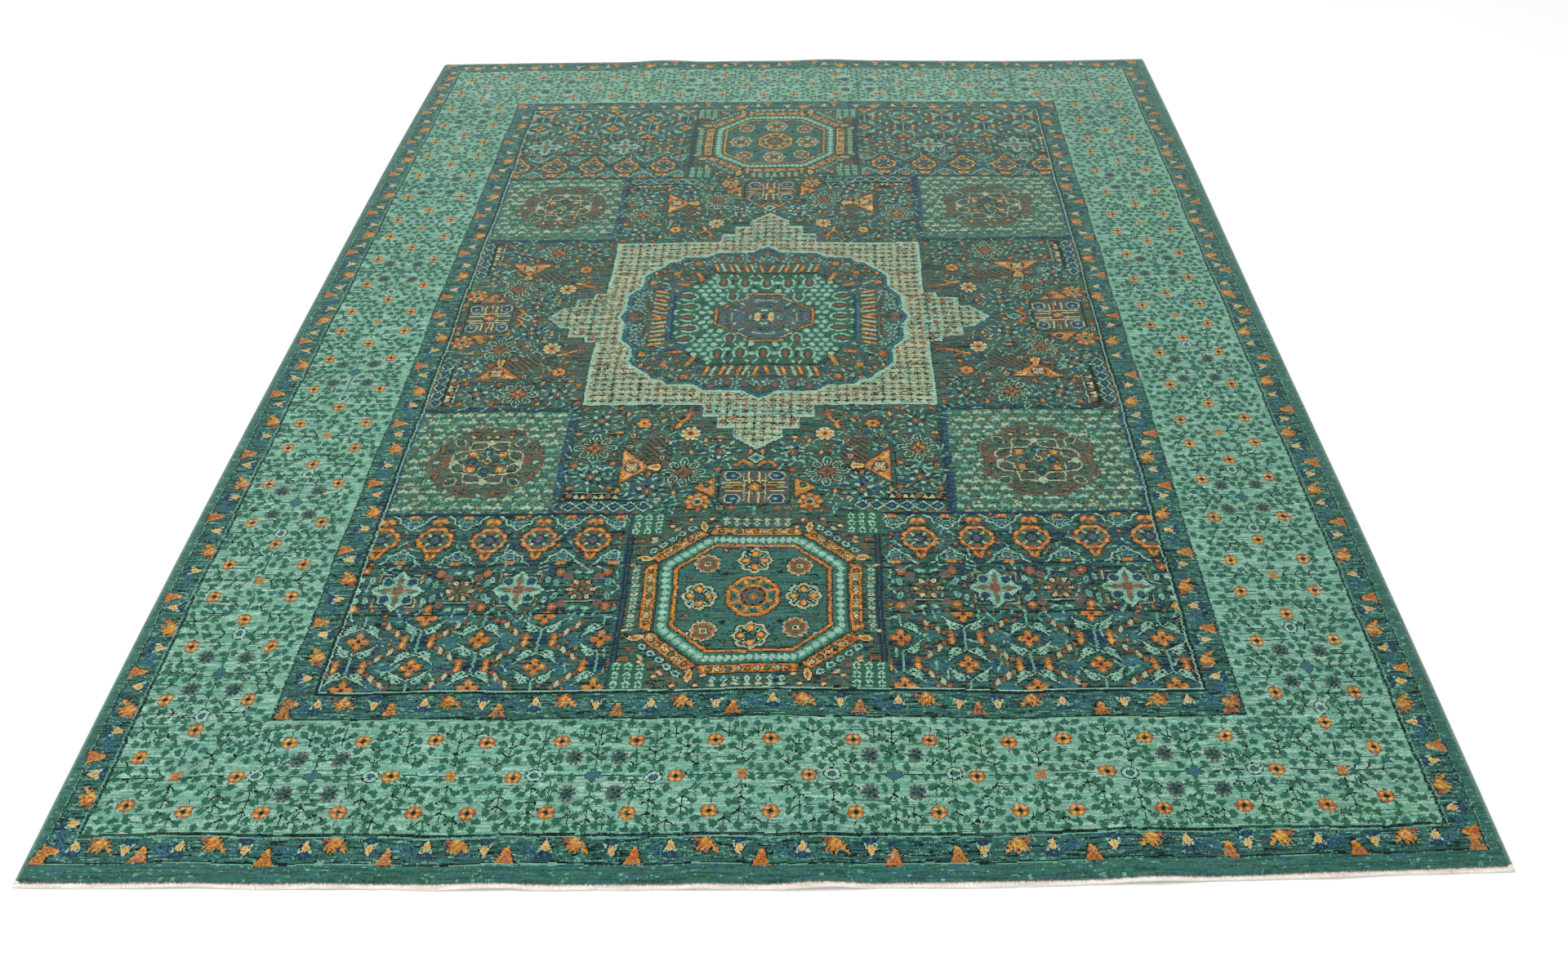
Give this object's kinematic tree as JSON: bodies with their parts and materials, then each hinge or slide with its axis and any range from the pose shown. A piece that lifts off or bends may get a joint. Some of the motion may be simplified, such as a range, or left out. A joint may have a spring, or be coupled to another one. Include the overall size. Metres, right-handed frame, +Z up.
{
  "type": "pakistani wool rug",
  "caption": "Rectangular hand-knotted wool rug lying flat, with a medallion and compartment pattern, wound sides and narrow flat-woven ends.",
  "frame": {"origin": "on the floor, under the middle of the rug's outer box", "axes": "+X to the rug's right side, +Y along its length to the far end, +Z up out of the pile"},
  "size_m": [2.4634, 3.2, 0.0169],
  "materials": {
    "wool_pile": "cut wool pile, matt with a slight sheen",
    "wool_binding": "wound wool yarn, matt",
    "cotton_web": "flat-woven undyed cotton, matt"
  },
  "bodies": {
    "root": {"pile_body": "wool_pile", "side_binding_left": "wool_binding", "side_binding_right": "wool_binding", "end_web_near": "cotton_web", "end_web_far": "cotton_web"}
  },
  "joints": []
}
